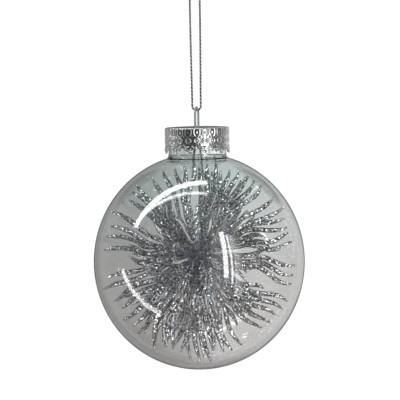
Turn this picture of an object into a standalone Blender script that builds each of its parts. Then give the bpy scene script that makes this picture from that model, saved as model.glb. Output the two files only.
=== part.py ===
"""Glass ball ornament: a clear ball with an open neck, a stamped crown cap held on by a spring-legged
wire hanger, a twisted hanging string, and a spray of moulded glittered sprigs plugged into a hub inside
the ball.

Metres, +Z up. The origin is where a hook holds the string's loop, on the ornament's axis. The hanger
wire lies in the YZ plane and the string in the XZ plane. Heights named *_UP count from the ball's centre.
"""

import math
import random

import bmesh
import bpy
from mathutils import Matrix, Vector

MERGE = 0.00001
GAP = 0.0003  # between pieces that touch

# Ball and neck
BALL_CENTRE_Z = -0.1010
BALL_RADIUS = 0.0400
BALL_HALF_HEIGHT = 0.0410
WALL = 0.0009
WALL_AT_BOTTOM = 0.0014
NECK_RADIUS = 0.0109
NECK_WALL = 0.0011
NECK_FILLET = 0.0007
NECK_FILLET_POINTS = ((0, 1.2), (0.3, 0.4))  # out and up, as shares of the fillet
LIP_UP = 0.05025
LIP_ROUND = 0.0004
BALL_STEPS = 32
BALL_ROWS = 15

# Crown cap
CAP_RADIUS = 0.0121
CAP_FLARE_RADIUS = 0.0124
CAP_SHEET = 0.00035
CAP_TOP_UP = 0.05095
CAP_DOME = 0.0003
CAP_DOME_KNEE = (0.55, 0.7)  # radius and height of a point on the dome, as shares of the whole
CAP_CORNER = 0.0009
CAP_CORNER_STEPS = 3
CAP_FLARE_FROM_UP = 0.0440
CAP_BOTTOM_UP = 0.0412
CAP_STEPS = 48
SCALLOPS = 12
SCALLOP_NOTCH_RADIUS = 0.0013
NOTCH_CUTTER = 0.03  # lengths of the cutting cylinders
HOLE_CUTTER = 0.004

# Hanger wire
WIRE_RADIUS = 0.0004
WIRE_POINT_EVERY = 0.0022
EYE_HALF_WIDTH = 0.0029
EYE_TOP_UP = 0.0584
LEG_STRAIGHT_TO_UP = 0.0500
LEG_END_UP = 0.0334
LEG_END_SPREAD = 0.0091
WIRE_HOLE_RADIUS = 0.0008

# String and knot
STRING_RADIUS = 0.0004
STRING_BIGHT = 0.00165  # radius of its turn under the wire
STRING_POINT_EVERY = 0.0020
KNOT_HALF_WIDTH = 0.0014
KNOT_HALF_HEIGHT = 0.0015
KNOT_Z = 0.0052
KNOT_TAIL = 0.0042
KNOT_TAIL_LEAN = math.radians(16)
KNOT_TAIL_OFFSET = 0.00052

# Spray
SPRAY_UP = 0.0028
SPRAY_TURN = math.radians(12)
HUB_RADIUS = 0.0046
FORK_RADIUS = 0.0105
STALK_WIDTH = 0.0013
FORK_WIDTH = 0.0018
LEAF_WIDTH = 0.0018
LEAF_TIP_WIDTH = 0.0006
LEAF_THICKNESS = 0.0008
LEAF_TIP_SHARE = 0.35  # of the thickness
LEAF_OPEN_AT = 0.25  # the leaves have fanned out by this share of their length
LEAF_FULL_AT = 0.55  # full width from here
LEAF_TAPER_AT = 0.78  # and narrower from here on
LEAF_TAPER_POWER = 1.3
TIP_CLEARANCE = 0.0010
REACHES = (0.93, 1.0)  # of the way to the wall
WAVE = math.radians(2.8)  # shared by a sprig's leaves
LEAF_WAVE = math.radians(0.5)  # a leaf's own
PHASE_SPREAD = 0.15  # between a sprig's leaves, in radians
BOW = math.radians(2.4)
LEAF_SEGMENTS = 5
LEAF_LOOK_BACK = 0.05  # share over which a leaf's heading is taken
SEED = 20

THREE = (-5.5, 0, 5.5)  # a fan of three leaves, in degrees from the sprig's middle

# Sprigs by group: clock angle of the tips as seen from the front (0 right, 90 up), lean towards the
# front, curl on the way out (anticlockwise positive), and the leaves' angles in the fan.
BELT_SPRIGS = [
    (97, 7, -6, (-3, 3)), (65, 9, 5, THREE), (37, 9, 0, (-7, 1)), (8, 9, -3, (-3, 3)),
    (-36, 9, 7, THREE), (-70, 9, 0, (-3, 3)), (-92, 9, 0, THREE), (-115, 9, 0, (-3, 3)),
    (-135, 9, 0, THREE), (-162, 9, 6, (-3, 3)), (157, 9, -6, (-4, 4)), (124, 9, -6, (-5, 5)),
    (82, -7, -2, THREE), (53, -9, 0, THREE), (19, -9, -10, (-3, 3)), (-13, -9, -2, THREE),
    (-51, -9, 6, (-3, 3)), (-81, -9, 0, (-3, 3)), (-104, -9, 0, THREE), (-124, -9, 0, (-3, 3)),
    (-150, -9, -5, (-3, 3)), (172, -9, -5, (-4, 4)), (138, -9, -5, (-3, 3)), (107, -9, -6, (-4, 4)),
]
FRONT_SPRIGS = [
    (62, 27, 4, THREE), (20, 46, -6, THREE), (-38, 45, 6, THREE), (-84, 26, 0, THREE),
    (-117, 27, 0, THREE), (-150, 38, 0, THREE), (172, 47, -6, THREE), (128, 46, -6, THREE),
]
BACK_SPRIGS = [
    (78, -27, -2, THREE), (36, -45, 0, THREE), (-12, -46, 0, THREE), (-60, -32, 4, THREE),
    (-98, -26, 0, THREE), (-130, -28, 0, THREE), (-172, -44, -4, THREE), (140, -46, -6, THREE),
]
FRONT_MIDDLE_SPRIGS = [(-8 + 72 * i, 61, -6, THREE) for i in range(5)]
BACK_MIDDLE_SPRIGS = [(28 + 72 * i, -61, -6, THREE) for i in range(5)]


def clear_scene():
    for obj in list(bpy.data.objects):
        bpy.data.objects.remove(obj, do_unlink=True)
    for mesh in list(bpy.data.meshes):
        bpy.data.meshes.remove(mesh)


def new_collection(name):
    collection = bpy.data.collections.new(name)
    bpy.context.scene.collection.children.link(collection)
    return collection


def new_material(name, colour, roughness, metallic=0.0, transmission=0.0):
    material = bpy.data.materials.new(name)
    material.use_nodes = True
    shader = material.node_tree.nodes["Principled BSDF"]
    shader.inputs["Base Color"].default_value = (*colour, 1.0)
    shader.inputs["Roughness"].default_value = roughness
    shader.inputs["Metallic"].default_value = metallic
    shader.inputs["Transmission Weight"].default_value = transmission
    return material


def place(obj, collection, material, location=(0, 0, 0)):
    collection.objects.link(obj)
    obj.location = location
    obj.data.materials.clear()
    obj.data.materials.append(material)
    return obj


def turned(name, profile, steps):
    """An object turned about Z from a profile of (radius, height) points."""
    mesh = bpy.data.meshes.new(name)
    edges = [(i, i + 1) for i in range(len(profile) - 1)]
    mesh.from_pydata([(radius, 0, height) for radius, height in profile], edges, [])
    obj = bpy.data.objects.new(name, mesh)
    screw = obj.modifiers.new("turn", "SCREW")
    screw.steps = steps
    screw.render_steps = steps
    screw.use_merge_vertices = True
    screw.merge_threshold = MERGE
    screw.use_smooth_shade = True
    return obj


def arc(centre, radius, start, end, count):
    """count + 1 points of an arc in the (radius, height) plane, angles in degrees."""
    points = []
    for i in range(count + 1):
        angle = math.radians(start + (end - start) * i / count)
        points.append((centre[0] + radius * math.cos(angle), centre[1] + radius * math.sin(angle)))
    return points


def wire(name, points, radius):
    """A round wire or cord along a polyline."""
    curve = bpy.data.curves.new(name, "CURVE")
    curve.dimensions = "3D"
    curve.bevel_depth = radius
    curve.bevel_resolution = 2
    curve.use_fill_caps = True
    spline = curve.splines.new("POLY")
    spline.points.add(len(points) - 1)
    for spline_point, point in zip(spline.points, points):
        spline_point.co = (*point, 1.0)
    return bpy.data.objects.new(name, curve)


def smooth_curve(points, every):
    """Points about `every` apart on a Catmull-Rom curve through the given points."""
    dense = []
    padded = [2 * points[0] - points[1], *points, 2 * points[-1] - points[-2]]
    for a, b, c, d in zip(padded, padded[1:], padded[2:], padded[3:]):
        for i in range(20):
            t = i / 20
            dense.append(0.5 * (2 * b + (c - a) * t + (2 * a - 5 * b + 4 * c - d) * t * t
                                + (3 * b - a - 3 * c + d) * t ** 3))
    dense.append(points[-1])
    length = sum((b - a).length for a, b in zip(dense, dense[1:]))
    count = round(length / every)
    wanted, walked, found = 0, 0.0, []
    for a, b in zip(dense, dense[1:]):
        step = (b - a).length
        while wanted < count and walked + step >= wanted * length / count:
            found.append(a.lerp(b, (wanted * length / count - walked) / step))
            wanted += 1
        walked += step
    return [*found, dense[-1]]


def cut(obj, cutter, collection):
    """Cuts cutter out of obj, and keeps the cutter as a guide."""
    collection.objects.link(cutter)
    cutter.hide_render = True
    cutter.display_type = "WIRE"
    boolean = obj.modifiers.new("cut_" + cutter.name, "BOOLEAN")
    boolean.operation = "DIFFERENCE"
    boolean.solver = "EXACT"
    boolean.object = cutter


def cylinder(name, radius, length, sides, matrix):
    mesh = bpy.data.meshes.new(name)
    bm = bmesh.new()
    bmesh.ops.create_cone(bm, cap_ends=True, segments=sides, radius1=radius, radius2=radius,
                          depth=length, matrix=matrix)
    bm.to_mesh(mesh)
    bm.free()
    return bpy.data.objects.new(name, mesh)


def inner_ball():
    """Half width, half height and centre height of the ball's inner surface."""
    half_width = BALL_RADIUS - WALL
    top, bottom = BALL_HALF_HEIGHT - WALL, BALL_HALF_HEIGHT - WALL_AT_BOTTOM
    return half_width, (top + bottom) / 2, (top - bottom) / 2


def make_ball(collection, material):
    """The clear ball with its neck: an even wall, a little thicker at the bottom, and a rounded lip."""
    half_width, half_height, shift = inner_ball()
    bore = NECK_RADIUS - NECK_WALL
    start = math.degrees(math.acos(bore / half_width))
    profile = []
    for i in range(BALL_ROWS + 1):
        angle = math.radians(-90 + (start + 90) * i / BALL_ROWS)
        radius = half_width * math.cos(angle) if i else 0.0
        profile.append((radius, shift + half_height * math.sin(angle)))
    profile += [(bore, (profile[-1][1] + LIP_UP) / 2)]
    profile += arc((bore + LIP_ROUND, LIP_UP - LIP_ROUND), LIP_ROUND, 180, 90, 2)
    profile += arc((NECK_RADIUS - LIP_ROUND, LIP_UP - LIP_ROUND), LIP_ROUND, 90, 0, 2)
    foot = math.acos((NECK_RADIUS + NECK_FILLET) / BALL_RADIUS)
    foot_up = BALL_HALF_HEIGHT * math.sin(foot)
    for out, up in NECK_FILLET_POINTS:
        profile.append((NECK_RADIUS + NECK_FILLET * out, foot_up + NECK_FILLET * up))
    for i in range(BALL_ROWS + 1):
        angle = foot - (foot + math.pi / 2) * i / BALL_ROWS
        radius = BALL_RADIUS * math.cos(angle) if i < BALL_ROWS else 0.0
        profile.append((radius, BALL_HALF_HEIGHT * math.sin(angle)))
    return place(turned("glass_ball", profile, BALL_STEPS), collection, material, (0, 0, BALL_CENTRE_Z))


def make_cap(collection, cutters, material):
    """The crown cap: a shallow stamped cup with a flared, scalloped edge and two holes for the wire."""
    corner = (CAP_RADIUS - CAP_CORNER, CAP_TOP_UP - CAP_CORNER)
    knee = (CAP_RADIUS * CAP_DOME_KNEE[0], CAP_TOP_UP + CAP_DOME * CAP_DOME_KNEE[1])
    profile = [(0.0, CAP_TOP_UP + CAP_DOME), knee]
    profile += arc(corner, CAP_CORNER, 90, 0, CAP_CORNER_STEPS)
    profile += [(CAP_RADIUS, CAP_FLARE_FROM_UP), (CAP_FLARE_RADIUS, CAP_BOTTOM_UP)]
    cap = place(turned("crown_cap", profile, CAP_STEPS), collection, material, (0, 0, BALL_CENTRE_Z))
    solidify = cap.modifiers.new("sheet", "SOLIDIFY")
    solidify.thickness = CAP_SHEET
    solidify.offset = -1
    edge = Matrix.Translation((0, 0, BALL_CENTRE_Z + CAP_BOTTOM_UP))
    along_x = Matrix.Rotation(math.pi / 2, 4, "Y")
    for i in range(SCALLOPS // 2):
        spot = edge @ Matrix.Rotation(math.pi * (2 * i + 1) / SCALLOPS, 4, "Z") @ along_x
        cut(cap, cylinder(f"notch_{i + 1}", SCALLOP_NOTCH_RADIUS, NOTCH_CUTTER, 12, spot), cutters)
    for side in (-1, 1):
        spot = Matrix.Translation((0, side * EYE_HALF_WIDTH, BALL_CENTRE_Z + CAP_TOP_UP))
        name = "front_wire_hole" if side < 0 else "back_wire_hole"
        cut(cap, cylinder(name, WIRE_HOLE_RADIUS, HOLE_CUTTER, 12, spot), cutters)
    return cap


def make_hanger(collection, material):
    """The spring wire: a round eye, two straight legs through the cap, and legs spreading in the neck."""
    leg = [
        Vector((0, LEG_END_SPREAD, LEG_END_UP)),
        Vector((0, 0.0078, 0.0366)),
        Vector((0, 0.0061, 0.0404)),
        Vector((0, 0.0046, 0.0438)),
        Vector((0, 0.0034, 0.0472)),
        Vector((0, EYE_HALF_WIDTH, LEG_STRAIGHT_TO_UP)),
        Vector((0, EYE_HALF_WIDTH, 0.0527)),
        Vector((0, EYE_HALF_WIDTH, EYE_TOP_UP - EYE_HALF_WIDTH)),
    ]
    eye = [Vector((0, y, z)) for y, z in arc((0, EYE_TOP_UP - EYE_HALF_WIDTH), EYE_HALF_WIDTH, 0, 180, 12)]
    down = [Vector((0, -point.y, point.z)) for point in reversed(leg)]
    points = smooth_curve(leg, WIRE_POINT_EVERY) + eye[1:-1] + smooth_curve(down, WIRE_POINT_EVERY)
    apex = Vector((0, 0, BALL_CENTRE_Z + EYE_TOP_UP))
    shift = Vector((0, 0, BALL_CENTRE_Z)) - apex
    return place(wire("hanger_wire", [p + shift for p in points], WIRE_RADIUS), collection, material, apex)


def make_string(collection, material):
    """The string's loop: from the knot down, under the wire's eye and up to the knot again."""
    bottom = BALL_CENTRE_Z + EYE_TOP_UP - WIRE_RADIUS - GAP - STRING_RADIUS
    centre = bottom + STRING_BIGHT
    strand = [
        Vector((0.00055, 0, 0.0034)),
        Vector((0.00085, 0, 0.0025)),
        Vector((0.00140, 0, 0.0013)),
        Vector((0.00175, 0, 0.0000)),
        Vector((0.00190, 0, -0.0020)),
        Vector((0.00192, 0, -0.0060)),
        Vector((0.00190, 0, -0.0120)),
        Vector((0.00186, 0, -0.0180)),
        Vector((0.00180, 0, -0.0240)),
        Vector((0.00174, 0, -0.0300)),
        Vector((0.00168, 0, -0.0360)),
        Vector((0.00165, 0, -0.0395)),
    ]
    turn = [Vector((x, 0, z)) for x, z in arc((0, centre), STRING_BIGHT, 0, -180, 8)]
    back = [Vector((-point.x, 0, point.z)) for point in reversed(strand)]
    points = smooth_curve(strand + turn + back, STRING_POINT_EVERY)
    return place(wire("hanging_string", points, STRING_RADIUS), collection, material)


def make_knot(collection, cutters, material):
    """The overhand knot above the hook, with the string's two cut tails."""
    mesh = bpy.data.meshes.new("string_knot")
    bm = bmesh.new()
    bmesh.ops.create_uvsphere(bm, u_segments=16, v_segments=10, radius=1.0)
    bmesh.ops.scale(bm, vec=(KNOT_HALF_WIDTH, KNOT_HALF_WIDTH, KNOT_HALF_HEIGHT), verts=bm.verts)
    bm.to_mesh(mesh)
    bm.free()
    knot = place(bpy.data.objects.new("string_knot", mesh), collection, material, (0, 0, KNOT_Z))
    for side in (-1, 1):
        lean = Matrix.Rotation(side * KNOT_TAIL_LEAN, 4, "Y")
        start = Matrix.Translation((side * KNOT_TAIL_OFFSET, 0, KNOT_Z))
        out = Matrix.Translation((0, 0, KNOT_TAIL / 2 + KNOT_HALF_HEIGHT / 2))
        name = "left_tail" if side < 0 else "right_tail"
        tail = cylinder(name, STRING_RADIUS, KNOT_TAIL, 8, start @ lean @ out)
        cut(knot, tail, cutters)
        knot.modifiers[-1].operation = "UNION"
    return knot


def make_hub(collection, material):
    """The small ball that the sprigs' stalks plug into."""
    mesh = bpy.data.meshes.new("spray_hub")
    bm = bmesh.new()
    bmesh.ops.create_uvsphere(bm, u_segments=16, v_segments=10, radius=HUB_RADIUS)
    bm.to_mesh(mesh)
    bm.free()
    hub = bpy.data.objects.new("spray_hub", mesh)
    return place(hub, collection, material, (0, 0, BALL_CENTRE_Z + SPRAY_UP))


def direction(clock, lean):
    """Unit vector of a clock angle and a lean towards the front, in degrees, with the spray's turn."""
    clock, lean = math.radians(clock), math.radians(lean)
    seen = Vector((math.cos(lean) * math.cos(clock), -math.sin(lean), math.cos(lean) * math.sin(clock)))
    return Matrix.Rotation(SPRAY_TURN, 3, "Z") @ seen


def wall_distance(way):
    """From the spray's centre to the ball's inner surface along a unit vector."""
    half_width, half_height, shift = inner_ball()
    start = SPRAY_UP - shift
    a = (way.x ** 2 + way.y ** 2) / half_width ** 2 + way.z ** 2 / half_height ** 2
    b = 2 * start * way.z / half_height ** 2
    c = start ** 2 / half_height ** 2 - 1
    return (-b + math.sqrt(b * b - 4 * a * c)) / (2 * a)


class Leaf:
    """One tapered, wavy leaf of a sprig. A share runs from 0 at the fork to 1 at the tip."""

    def __init__(self, axes, index, count, curl, fan, wave, rng):
        self.axes = axes
        middle = (count - 1) / 2
        self.root = (index - middle) * FORK_WIDTH / count / FORK_RADIUS
        self.size, self.cycles, self.phase, self.bow, self.bow_phase = wave
        self.curl, self.fan = curl, fan
        self.size += LEAF_WAVE * rng.uniform(-1, 1)
        self.phase += PHASE_SPREAD * rng.uniform(-1, 1)
        self.bow += LEAF_WAVE * rng.uniform(-1, 1)
        self.reach = rng.uniform(*REACHES)

    def way(self, share):
        """Unit vector from the spray's centre to the leaf's middle line."""
        axis, side, normal = self.axes
        opened = min(1.0, share / LEAF_OPEN_AT)
        opened = opened * opened * (3 - 2 * opened)
        swing = self.size * math.sin(2 * math.pi * self.cycles * share + self.phase)
        across = self.root + (self.fan - self.root + swing) * opened + self.curl * share
        up = self.bow * math.sin(1.5 * math.pi * share + self.bow_phase) * opened
        return (axis * math.cos(across) + side * math.sin(across)) * math.cos(up) + normal * math.sin(up)

    def point(self, share):
        tip = (wall_distance(self.way(1.0)) - TIP_CLEARANCE) * self.reach
        return self.way(share) * (FORK_RADIUS + (tip - FORK_RADIUS) * share)

    def half_width(self, share):
        """Growing from the fork, full in the middle, then tapering to the tip."""
        root = FORK_WIDTH / 3
        grown = root + (LEAF_WIDTH - root) * min(1.0, share / LEAF_FULL_AT)
        taper = max(0.0, (share - LEAF_TAPER_AT) / (1 - LEAF_TAPER_AT)) ** LEAF_TAPER_POWER
        return (grown + (LEAF_TIP_WIDTH - grown) * taper) / 2


def make_sprig(name, shape, collection, material, rng):
    """A moulded sprig: a flat stalk that forks into leaves, as one open surface with a thickness."""
    clock, lean, curl, fans = shape
    count = len(fans)
    axis = direction(clock - curl, lean)
    side = direction(clock - curl + 90, 0)
    side = (side - axis * side.dot(axis)).normalized()
    normal = axis.cross(side)
    wave = (WAVE * rng.uniform(0.6, 1), rng.uniform(0.8, 1.3), rng.uniform(0, 2 * math.pi),
            BOW * rng.uniform(-1, 1), rng.uniform(0, math.pi))
    leaves = [Leaf((axis, side, normal), i, count, math.radians(curl), math.radians(fan), wave, rng)
              for i, fan in enumerate(fans)]
    bm = bmesh.new()
    weights = {}

    def vertex(point, weight):
        made = bm.verts.new(point)
        weights[made] = weight
        return made

    def stalk_row(radius, width):
        return [vertex(axis * radius + side * width * (i / count - 0.5), 1.0) for i in range(count + 1)]

    start = HUB_RADIUS + GAP + LEAF_THICKNESS / 4
    rows = [stalk_row(start, STALK_WIDTH), stalk_row(FORK_RADIUS, FORK_WIDTH)]
    for i in range(count):
        bm.faces.new((rows[0][i], rows[0][i + 1], rows[1][i + 1], rows[1][i]))
    for i, leaf in enumerate(leaves):
        last = (rows[1][i], rows[1][i + 1])
        for k in range(1, LEAF_SEGMENTS + 1):
            share = k / LEAF_SEGMENTS
            along = leaf.point(share) - leaf.point(share - LEAF_LOOK_BACK)
            across = normal.cross(along).normalized() * leaf.half_width(share)
            weight = 1 - (1 - LEAF_TIP_SHARE) * share ** 2
            new = (vertex(leaf.point(share) - across, weight), vertex(leaf.point(share) + across, weight))
            bm.faces.new((last[0], last[1], new[1], new[0]))
            last = new
    bm.verts.index_update()
    order = [weights[v] for v in bm.verts]
    bmesh.ops.recalc_face_normals(bm, faces=bm.faces)
    mesh = bpy.data.meshes.new(name)
    bm.to_mesh(mesh)
    bm.free()
    sprig = place(bpy.data.objects.new(name, mesh), collection, material, (0, 0, BALL_CENTRE_Z + SPRAY_UP))
    group = sprig.vertex_groups.new(name="thickness")
    for index, weight in enumerate(order):
        group.add([index], weight, "REPLACE")
    solidify = sprig.modifiers.new("thickness", "SOLIDIFY")
    solidify.thickness = LEAF_THICKNESS
    solidify.offset = 0
    solidify.vertex_group = group.name
    return sprig


def make_spray(collection, hub_material, leaf_material):
    """The hub and every sprig on it."""
    make_hub(collection, hub_material)
    groups = [
        ("belt_sprig", BELT_SPRIGS),
        ("front_sprig", FRONT_SPRIGS),
        ("back_sprig", BACK_SPRIGS),
        ("front_middle_sprig", FRONT_MIDDLE_SPRIGS),
        ("back_middle_sprig", BACK_MIDDLE_SPRIGS),
    ]
    for group_index, (group, sprigs) in enumerate(groups):
        for index, shape in enumerate(sprigs):
            rng = random.Random(SEED + 100 * group_index + index)
            name = f"{group}_{index + 1:02d}"
            own = leaf_material.copy()
            own.name = name
            make_sprig(name, shape, collection, own, rng)


def shade_smooth(collection):
    for obj in collection.objects:
        if obj.type == "MESH" and obj.data.polygons:
            obj.data.shade_smooth()
            obj.data.set_sharp_from_angle(angle=math.radians(35))


def main():
    clear_scene()
    parts = new_collection("glass_ball_ornament")
    cutters = new_collection("cutters")
    glass = new_material("clear_glass", (0.90, 0.93, 0.93), 0.03, transmission=1.0)
    stamped = new_material("crown_cap_silver", (0.78, 0.79, 0.80), 0.18, metallic=1.0)
    steel = new_material("hanger_steel", (0.62, 0.65, 0.65), 0.22, metallic=1.0)
    thread = new_material("silver_thread", (0.45, 0.46, 0.48), 0.35, metallic=0.8)
    knot_thread = new_material("silver_thread_knot", (0.45, 0.46, 0.48), 0.35, metallic=0.8)
    hub_plastic = new_material("hub_plastic", (0.20, 0.21, 0.23), 0.5)
    glitter = new_material("glittered_leaf", (0.46, 0.47, 0.50), 0.35, metallic=0.7)
    make_ball(parts, glass)
    make_cap(parts, cutters, stamped)
    make_hanger(parts, steel)
    make_string(parts, thread)
    make_knot(parts, cutters, knot_thread)
    make_spray(parts, hub_plastic, glitter)
    shade_smooth(parts)


main()
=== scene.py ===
import math
import random

import bmesh
import bpy
import numpy as np
from mathutils import Matrix, Vector


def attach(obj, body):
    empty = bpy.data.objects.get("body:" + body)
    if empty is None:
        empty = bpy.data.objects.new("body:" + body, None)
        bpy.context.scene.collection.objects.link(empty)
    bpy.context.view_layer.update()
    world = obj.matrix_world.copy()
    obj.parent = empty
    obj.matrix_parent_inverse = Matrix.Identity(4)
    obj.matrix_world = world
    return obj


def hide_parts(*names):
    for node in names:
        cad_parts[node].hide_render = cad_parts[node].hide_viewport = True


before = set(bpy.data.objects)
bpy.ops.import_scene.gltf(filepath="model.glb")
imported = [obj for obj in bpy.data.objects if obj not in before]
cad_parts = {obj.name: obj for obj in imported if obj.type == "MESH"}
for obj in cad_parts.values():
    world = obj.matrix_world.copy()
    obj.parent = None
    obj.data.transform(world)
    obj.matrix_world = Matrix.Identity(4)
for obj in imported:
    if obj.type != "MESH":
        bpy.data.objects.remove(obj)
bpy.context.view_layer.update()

# Lengths are in metres unless a comment says millimetres. The origin is inside the top of the string's
# loop, where it hangs.
MM = 0.001
BALL_CENTRE_Z = -0.1010
EYE_TOP_UP = 0.0584  # up from the ball's centre
EYE_RADIUS = 0.0029
WIRE_RADIUS = 0.0004
STRING_RADIUS = 0.0004
GAP = 0.0003  # left between pieces
SPRAY_UP = 0.0028
SPRAY_CENTRE = np.array((0, 0, BALL_CENTRE_Z + SPRAY_UP))

# ---------------------------------------------------------------- camera
AZIMUTH, ELEVATION, LEAN = math.radians(12), math.radians(3), math.radians(-1.0)
DISTANCE = 1.0
VIEW_WIDTH = 0.1516  # width in view at that distance
AIM_SIDE, AIM_Z = 0.00068, -0.0777
SENSOR_MM = 36
BACK = Vector((math.sin(AZIMUTH) * math.cos(ELEVATION), -math.cos(AZIMUTH) * math.cos(ELEVATION),
               math.sin(ELEVATION)))
RIGHT = Vector((math.cos(AZIMUTH), math.sin(AZIMUTH), 0))
UP = BACK.cross(RIGHT)


def seen(x, y, z):
    """World direction of a vector given as right, up and towards the camera."""
    return (RIGHT * x + UP * y + BACK * z).normalized()


def make_camera():
    data = bpy.data.cameras.new("camera")
    data.sensor_width = SENSOR_MM
    data.lens = SENSOR_MM * DISTANCE / VIEW_WIDTH
    data.clip_start = 0.01
    data.clip_end = 20
    camera = bpy.data.objects.new("camera", data)
    bpy.context.scene.collection.objects.link(camera)
    right = RIGHT * math.cos(LEAN) + UP * math.sin(LEAN)
    up = UP * math.cos(LEAN) - RIGHT * math.sin(LEAN)
    turn = Matrix((right, up, BACK)).transposed().to_4x4()
    aim = Vector((0, 0, AIM_Z)) + RIGHT * AIM_SIDE
    camera.matrix_world = Matrix.Translation(aim + BACK * DISTANCE) @ turn
    bpy.context.scene.camera = camera


# ---------------------------------------------------------------- mesh helpers
def new_mesh_object(name, verts, faces, materials):
    mesh = bpy.data.meshes.new(name)
    mesh.from_pydata([tuple(v) for v in verts], [], [tuple(int(i) for i in f) for f in faces])
    for material in materials:
        mesh.materials.append(material)
    obj = bpy.data.objects.new(name, mesh)
    bpy.context.scene.collection.objects.link(obj)
    return obj


def new_piece(name, verts, faces, materials, body, node, smooth=True, index=None):
    """A piece that rides on a body and replaces a CAD node. index is each face's material."""
    obj = new_mesh_object(name, verts, faces, materials)
    if index is not None:
        obj.data.polygons.foreach_set("material_index", np.asarray(index, dtype=np.int32))
    obj.data.polygons.foreach_set("use_smooth", np.full(len(faces), smooth))
    obj.data.update()
    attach(obj, body)
    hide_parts(node)
    return obj


def add_attribute(obj, name, values):
    attribute = obj.data.attributes.new(name, "FLOAT", "POINT")
    attribute.data.foreach_set("value", np.asarray(values, dtype=np.float32))


def tangents(points):
    way = np.gradient(points, axis=0)
    return way / np.linalg.norm(way, axis=1)[:, None]


def distances(points):
    """How far along a line each of its points is."""
    return np.concatenate([[0], np.cumsum(np.linalg.norm(np.diff(points, axis=0), axis=1))])


def frames(points):
    """Tangent, normal and binormal along a line, without twist."""
    tangent = tangents(points)
    start = np.cross(tangent[0], (0.0, 1.0, 0.0))
    if np.linalg.norm(start) < 0.1:
        start = np.cross(tangent[0], (1.0, 0.0, 0.0))
    normal = [start / np.linalg.norm(start)]
    for t in tangent[1:]:
        n = normal[-1] - t * np.dot(normal[-1], t)
        normal.append(n / np.linalg.norm(n))
    normal = np.array(normal)
    return tangent, normal, np.cross(tangent, normal)


def tube(points, radius, sides, end_rings):
    """A closed round tube along a line, whose ends are rounded by a few shrinking rings."""
    tangent, normal, binormal = frames(points)
    slope = np.arange(1, end_rings + 1) * math.pi / 2 / (end_rings + 0.5)
    out = radius * np.sin(slope)[:, None]
    shrunk = radius * np.cos(slope)
    radii = np.concatenate([shrunk[::-1], np.full(len(points), radius), shrunk])
    points = np.vstack([(points[0] - tangent[0] * out)[::-1], points, points[-1] + tangent[-1] * out])
    normal = np.vstack([[normal[0]] * end_rings, normal, [normal[-1]] * end_rings])
    binormal = np.vstack([[binormal[0]] * end_rings, binormal, [binormal[-1]] * end_rings])
    angle = np.arange(sides) * 2 * math.pi / sides
    ring = (normal[:, None, :] * np.cos(angle)[None, :, None]
            + binormal[:, None, :] * np.sin(angle)[None, :, None])
    verts = (points[:, None, :] + ring * radii[:, None, None]).reshape(-1, 3)
    return verts, tube_faces(len(points), sides)


def tube_faces(count, sides):
    faces = []
    for i in range(count - 1):
        for k in range(sides):
            a, b = i * sides + k, i * sides + (k + 1) % sides
            faces.append((a, b, b + sides, a + sides))
    faces.append(tuple(range(sides))[::-1])
    faces.append(tuple(range((count - 1) * sides, count * sides)))
    return faces


def joined(parts):
    """Vertices, faces and each face's material number from several (vertices, faces, number)."""
    verts, faces, index, start = [], [], [], 0
    for part_verts, part_faces, number in parts:
        verts.append(part_verts)
        faces += [tuple(i + start for i in face) for face in part_faces]
        index += [number] * len(part_faces)
        start += len(part_verts)
    return np.vstack(verts), faces, index


def turned(profile, steps):
    """Vertices and faces of a profile of (radius, height) turned about Z. Both ends are on the axis."""
    verts = [(0.0, 0.0, profile[0][1])]
    middle = profile[1:-1]
    for radius, height in middle:
        for k in range(steps):
            angle = 2 * math.pi * k / steps
            verts.append((radius * math.cos(angle), radius * math.sin(angle), height))
    verts.append((0.0, 0.0, profile[-1][1]))
    faces = [(1 + k, 1 + (k + 1) % steps, 0) for k in range(steps)]
    for i in range(len(middle) - 1):
        for k in range(steps):
            a, b = 1 + i * steps + k, 1 + i * steps + (k + 1) % steps
            faces.append((a + steps, b + steps, b, a))
    last = 1 + (len(middle) - 1) * steps
    faces += [(len(verts) - 1, last + (k + 1) % steps, last + k) for k in range(steps)]
    return np.array(verts), faces


def smooth_line(points, every):
    """Points about `every` apart on a Catmull-Rom curve through the given points."""
    points = [Vector(p) for p in points]
    padded = [2 * points[0] - points[1], *points, 2 * points[-1] - points[-2]]
    parts = 20
    dense = []
    for a, b, c, d in zip(padded, padded[1:], padded[2:], padded[3:]):
        for i in range(parts):
            t = i / parts
            dense.append(0.5 * (2 * b + (c - a) * t + (2 * a - 5 * b + 4 * c - d) * t * t
                                + (3 * b - a - 3 * c + d) * t ** 3))
    dense.append(points[-1])
    dense = np.array(dense)
    walked = distances(dense)
    wanted = np.linspace(0, walked[-1], max(2, round(walked[-1] / every)) + 1)
    return np.stack([np.interp(wanted, walked, dense[:, i]) for i in range(3)], axis=1)


def arc(centre, radius, start, end, count):
    """Points of an arc in a plane, from one angle to another in degrees."""
    angles = [math.radians(start + (end - start) * i / count) for i in range(count + 1)]
    return [(centre[0] + radius * math.cos(a), centre[1] + radius * math.sin(a)) for a in angles]


def bend(a, b, c, count):
    """Points of a quadratic curve from a to c, pulled towards b."""
    return [tuple((1 - t) ** 2 * a[i] + 2 * t * (1 - t) * b[i] + t * t * c[i] for i in (0, 1))
            for t in (k / count for k in range(count + 1))]


def gauss(x, width):
    return np.exp(-(x / width) ** 2)


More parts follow.
